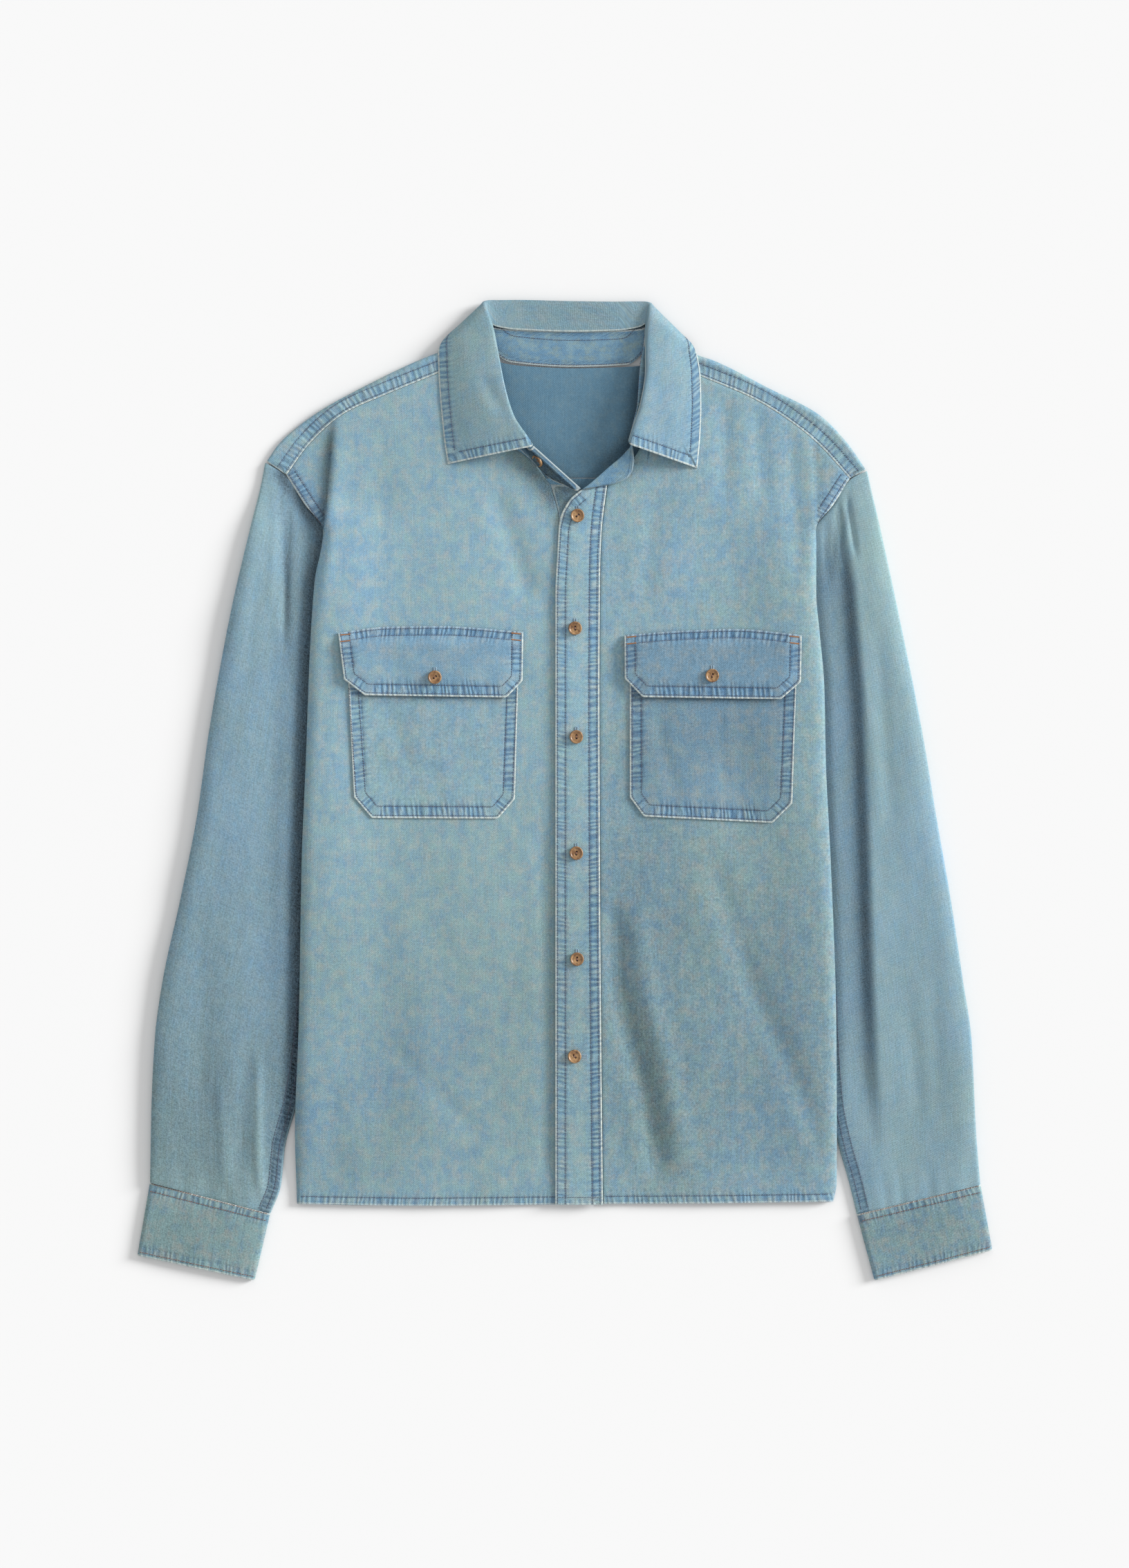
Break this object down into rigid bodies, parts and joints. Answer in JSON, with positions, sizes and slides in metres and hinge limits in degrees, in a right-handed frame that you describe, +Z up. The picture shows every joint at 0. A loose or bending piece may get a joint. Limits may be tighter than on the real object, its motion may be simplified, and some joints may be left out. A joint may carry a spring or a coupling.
{
  "type": "denim shirt",
  "caption": "Long-sleeved denim shirt laid flat on its back, buttoned with an open collar, with flapped chest pockets and a hem cut straight.",
  "frame": {"origin": "centre of the underside that lies on the surface", "axes": "+Z up out of the front, +Y towards the collar, +X towards the wearer's left sleeve"},
  "size_m": [0.717, 0.8222, 0.0221],
  "materials": {
    "denim": "light blue washed denim with pale worn edges",
    "denim_inside": "wrong side of the denim, darker blue",
    "horn_buttons": "mottled brown horn look, semi-gloss"
  },
  "bodies": {
    "root": {"back": "denim", "yoke": "denim", "front_right": "denim", "front_left": "denim", "button_band": "denim", "placket": "denim", "collar_stand": "denim_inside", "collar_leaf": "denim", "sleeve_right": "denim", "sleeve_left": "denim", "cuff_right": "denim", "cuff_left": "denim", "pocket_right": "denim", "pocket_left": "denim", "flap_right": "denim", "flap_left": "denim", "button_front_1": "horn_buttons", "button_front_2": "horn_buttons", "button_front_3": "horn_buttons", "button_front_4": "horn_buttons", "button_front_5": "horn_buttons", "button_front_6": "horn_buttons", "button_flap_right": "horn_buttons", "button_flap_left": "horn_buttons", "button_collar": "horn_buttons"}
  },
  "joints": []
}
